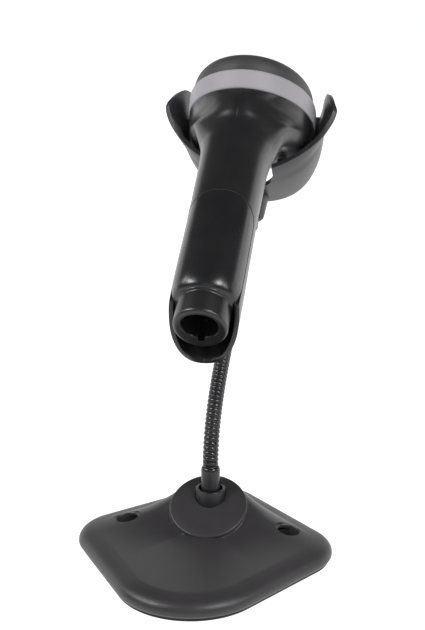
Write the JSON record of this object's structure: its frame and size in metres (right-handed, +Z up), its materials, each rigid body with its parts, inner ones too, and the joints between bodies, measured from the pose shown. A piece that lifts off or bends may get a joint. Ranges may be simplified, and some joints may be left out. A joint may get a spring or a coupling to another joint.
{
  "type": "handheld barcode scanner",
  "caption": "Pistol-grip barcode scanner with a trigger and a cable socket, resting nose-down in the cup of a gooseneck stand on a weighted base.",
  "frame": {"origin": "on the underside of the base pad, between the two desk holes and the front of the base", "axes": "+Z up, -Y towards the end of the scanner handle, +X to the right seen from the handle end"},
  "size_m": [0.127, 0.2593, 0.23],
  "materials": {
    "stand_plastic": "fine textured matte",
    "satin_black": "satin, smooth",
    "cover_plastic": "fine textured matte",
    "grey_rubber": "soft matte",
    "black_rubber": "matte",
    "black_metal": "satin black",
    "steel": "brushed",
    "brass_contact": "bright",
    "black_gloss": "gloss",
    "white_plastic": "translucent satin",
    "circuit_board": "solder mask",
    "dark_window": "clear tinted",
    "lens_glass": "clear"
  },
  "bodies": {
    "base": {"base_cover": "stand_plastic", "base_weight": "steel", "base_plate": "steel", "base_pad": "black_rubber", "neck_collar": "black_metal", "neck_lock_nut": "steel", "lower_ferrule": "black_metal", "neck_link_1": "black_metal"},
    "neck_2": {"neck_link_2": "black_metal"},
    "neck_3": {"neck_link_3": "black_metal"},
    "neck_4": {"neck_link_4": "black_metal"},
    "neck_5": {"neck_link_5": "black_metal"},
    "neck_6": {"neck_link_6": "black_metal"},
    "neck_7": {"neck_link_7": "black_metal"},
    "neck_8": {"neck_link_8": "black_metal"},
    "cup": {"neck_link_9": "black_metal", "upper_ferrule": "black_metal", "stand_cup": "stand_plastic", "cup_pad_left": "black_rubber", "cup_pad_right": "black_rubber"},
    "scanner": {"body_left": "satin_black", "body_right": "satin_black", "grip_cover": "satin_black", "bumper_band": "grey_rubber", "top_cover": "cover_plastic", "status_lens": "white_plastic", "window_bezel": "black_gloss", "scan_window": "dark_window", "socket_housing": "satin_black", "cable_socket": "black_gloss", "socket_contacts": "brass_contact", "trigger_pin": "steel", "trigger_switch": "black_gloss", "handle_board": "circuit_board", "main_board": "circuit_board", "processor_chip": "black_gloss", "beeper": "black_gloss", "engine_bracket": "steel", "scan_engine": "black_gloss", "engine_lens": "lens_glass", "aimer_lens": "lens_glass", "led_left": "white_plastic", "led_right": "white_plastic", "body_screw_1": "steel", "body_screw_2": "steel", "body_screw_3": "steel"},
    "trigger": {"trigger": "satin_black", "trigger_spring": "steel"},
    "plunger": {"switch_plunger": "white_plastic"}
  },
  "joints": [
    {"name": "neck_bend_1", "type": "hinge", "parent": "base", "child": "neck_2", "pos_m": [0, 0.01975, 0.05517], "axis": [1, 0, 0], "range_deg": [-11, 11]},
    {"name": "neck_side_2", "type": "hinge", "parent": "neck_2", "child": "neck_3", "pos_m": [0, 0.03044, 0.06874], "axis": [0, -0.6844, 0.7291], "range_deg": [-9, 9]},
    {"name": "neck_bend_3", "type": "hinge", "parent": "neck_3", "child": "neck_4", "pos_m": [0, 0.04414, 0.07935], "axis": [1, 0, 0], "range_deg": [-11, 11]},
    {"name": "neck_side_4", "type": "hinge", "parent": "neck_4", "child": "neck_5", "pos_m": [0, 0.05905, 0.08822], "axis": [0, -0.4798, 0.8774], "range_deg": [-9, 9]},
    {"name": "neck_bend_5", "type": "hinge", "parent": "neck_5", "child": "neck_6", "pos_m": [0, 0.07444, 0.09624], "axis": [1, 0, 0], "range_deg": [-11, 11]},
    {"name": "neck_side_6", "type": "hinge", "parent": "neck_6", "child": "neck_7", "pos_m": [0, 0.08994, 0.10404], "axis": [0, -0.4532, 0.8914], "range_deg": [-9, 9]},
    {"name": "neck_bend_7", "type": "hinge", "parent": "neck_7", "child": "neck_8", "pos_m": [0, 0.10528, 0.11215], "axis": [1, 0, 0], "range_deg": [-11, 11]},
    {"name": "neck_side_8", "type": "hinge", "parent": "neck_8", "child": "cup", "pos_m": [0, 0.12011, 0.12116], "axis": [0, -0.5588, 0.8293], "range_deg": [-9, 9]},
    {"name": "scanner_lift", "type": "slide", "parent": "cup", "child": "scanner", "axis": [0, -0.8387, 0.5446], "range_m": [0, 0.06]},
    {"name": "trigger_pull", "type": "hinge", "parent": "scanner", "child": "trigger", "pos_m": [0, 0.09799, 0.1759], "axis": [-1, 0, 0], "range_deg": [0, 5], "stiffness_Nm_per_rad": 0.15, "springref_deg": -5.73},
    {"name": "plunger_press", "type": "slide", "parent": "scanner", "child": "plunger", "axis": [0, -0.515, 0.8572], "range_m": [0, 0.0021]}
  ],
  "couplings": [
    {"joint": "neck_bend_3", "follows": "neck_bend_1", "ratio": 1},
    {"joint": "neck_bend_5", "follows": "neck_bend_1", "ratio": 1},
    {"joint": "neck_bend_7", "follows": "neck_bend_1", "ratio": 1},
    {"joint": "neck_side_4", "follows": "neck_side_2", "ratio": 1},
    {"joint": "neck_side_6", "follows": "neck_side_2", "ratio": 1},
    {"joint": "neck_side_8", "follows": "neck_side_2", "ratio": 1},
    {"joint": "plunger_press", "follows": "trigger_pull", "m_per_rad": 0.0228}
  ]
}
